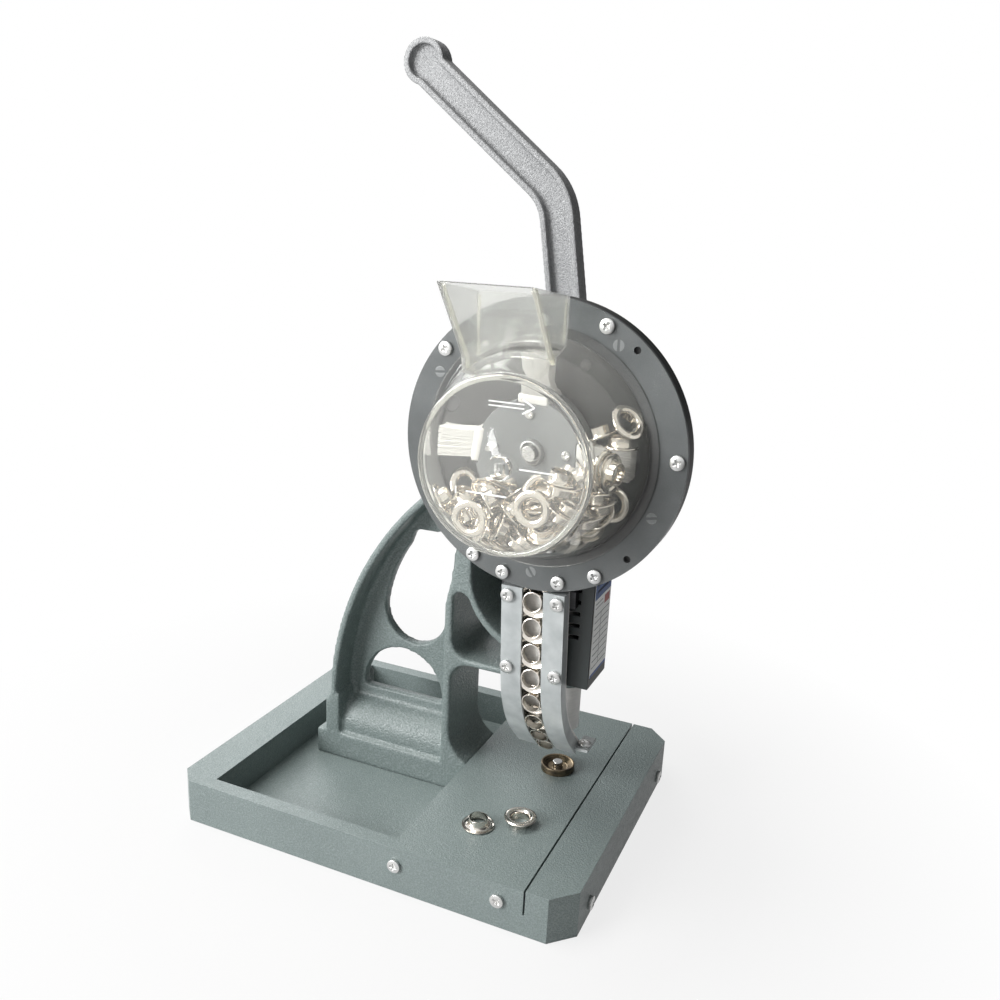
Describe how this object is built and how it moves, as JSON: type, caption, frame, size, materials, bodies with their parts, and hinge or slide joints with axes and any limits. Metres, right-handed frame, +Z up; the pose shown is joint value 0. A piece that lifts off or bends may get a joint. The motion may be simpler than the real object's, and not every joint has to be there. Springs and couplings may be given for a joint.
{
  "type": "eyelet machine",
  "caption": "Bench press with a hand lever, rack-driven ram and die on a tray base, fed with eyelets by a motor-turned brush drum, a funnel and a curved chute.",
  "frame": {"origin": "centre of the base's underside, on the surface the machine stands on", "axes": "+X towards the operator and the die, -Y towards the feeder drum, +Z up"},
  "size_m": [0.3095, 0.2252, 0.5119],
  "materials": {
    "base_paint": "grey-green textured paint on steel",
    "casting_paint": "grey-green hammertone paint on grey iron",
    "lever_paint": "silver hammertone paint on an aluminium casting",
    "zinc_steel": "bright zinc plated steel",
    "dark_steel": "blackened steel",
    "bronze": "sintered bronze",
    "tool_steel": "ground tool steel",
    "spring_steel": "oiled spring steel",
    "black_plastic": "black machined plastic",
    "grey_plate": "dark grey plate",
    "clear_plastic": "clear acrylic",
    "strip_steel": "zinc plated strip",
    "gearbox_grey": "dark grey paint",
    "motor_plastic": "charcoal moulded plastic",
    "motor_steel": "plated steel can",
    "label": "coated paper label",
    "nickel": "nickel plated brass",
    "hub_grey": "grey plastic",
    "bristle_white": "white nylon"
  },
  "bodies": {
    "frame": {"base_plate": "base_paint", "near_rail": "base_paint", "far_rail": "base_paint", "rear_cap": "base_paint", "front_cap": "base_paint", "table_plate": "base_paint", "base_screws": "zinc_steel", "frame_casting": "casting_paint", "foot_bolts": "dark_steel", "ram_bushes": "bronze", "shaft_bushes": "bronze", "pinion_cover": "casting_paint", "die_anvil": "dark_steel", "lower_die": "tool_steel", "die_spring": "spring_steel", "ram_spring": "spring_steel", "feeder_spacers": "zinc_steel", "feeder_bolts": "dark_steel", "back_plate": "black_plastic", "ring_plate": "grey_plate", "plate_screws": "zinc_steel", "drum": "clear_plastic", "drum_front": "clear_plastic", "funnel": "clear_plastic", "chute_strips": "strip_steel", "chute_rails": "strip_steel", "chute_back": "strip_steel", "chute_hanger": "strip_steel", "chute_screws": "zinc_steel", "chute_jaw": "strip_steel", "gearbox_case": "gearbox_grey", "gearbox_cover": "gearbox_grey", "feeder_bushes": "bronze", "motor_housing": "motor_plastic", "motor_end_cap": "motor_plastic", "motor_can": "motor_steel", "motor_label": "label", "eyelets_hopper": "nickel", "eyelets_chute": "nickel", "eyelets_table": "nickel"},
    "lever_arm": {"lever": "lever_paint", "lever_shaft": "dark_steel", "pinion": "dark_steel", "lever_nut": "zinc_steel"},
    "ram_slide": {"ram": "tool_steel", "ram_collar": "dark_steel", "punch_holder": "tool_steel", "punch": "tool_steel"},
    "brush_rotor": {"feeder_shaft": "dark_steel", "brush_hub": "hub_grey", "brush_1": "bristle_white", "brush_2": "bristle_white", "brush_3": "bristle_white", "brush_4": "bristle_white", "hub_nut": "zinc_steel", "worm_wheel": "bronze"},
    "motor_rotor": {"motor_shaft": "dark_steel", "worm": "dark_steel"},
    "die_pin": {"die_pilot": "tool_steel"}
  },
  "joints": [
    {"name": "lever_pull", "type": "hinge", "parent": "frame", "child": "lever_arm", "pos_m": [0.06, 0.022, 0.262], "axis": [0, 1, 0], "range_deg": [0, 90]},
    {"name": "ram_stroke", "type": "slide", "parent": "frame", "child": "ram_slide", "axis": [0, 0, -1], "range_m": [0, 0.0236], "stiffness_N_per_m": 2000, "springref_m": -0.015, "deforming": ["ram_spring"]},
    {"name": "brush_spin", "type": "hinge", "parent": "frame", "child": "brush_rotor", "pos_m": [0.082, -0.064, 0.274], "axis": [0, 1, 0], "continuous": true},
    {"name": "motor_spin", "type": "hinge", "parent": "frame", "child": "motor_rotor", "pos_m": [0.097, -0.0175, 0.274], "axis": [0, 0, 1], "continuous": true},
    {"name": "pilot_press", "type": "slide", "parent": "frame", "child": "die_pin", "axis": [0, 0, -1], "range_m": [0, 0.005], "stiffness_N_per_m": 400, "springref_m": -0.004, "deforming": ["die_spring"]}
  ],
  "couplings": [
    {"joint": "ram_stroke", "follows": "lever_pull", "m_per_rad": 0.015},
    {"joint": "motor_spin", "follows": "brush_spin", "ratio": 20}
  ]
}
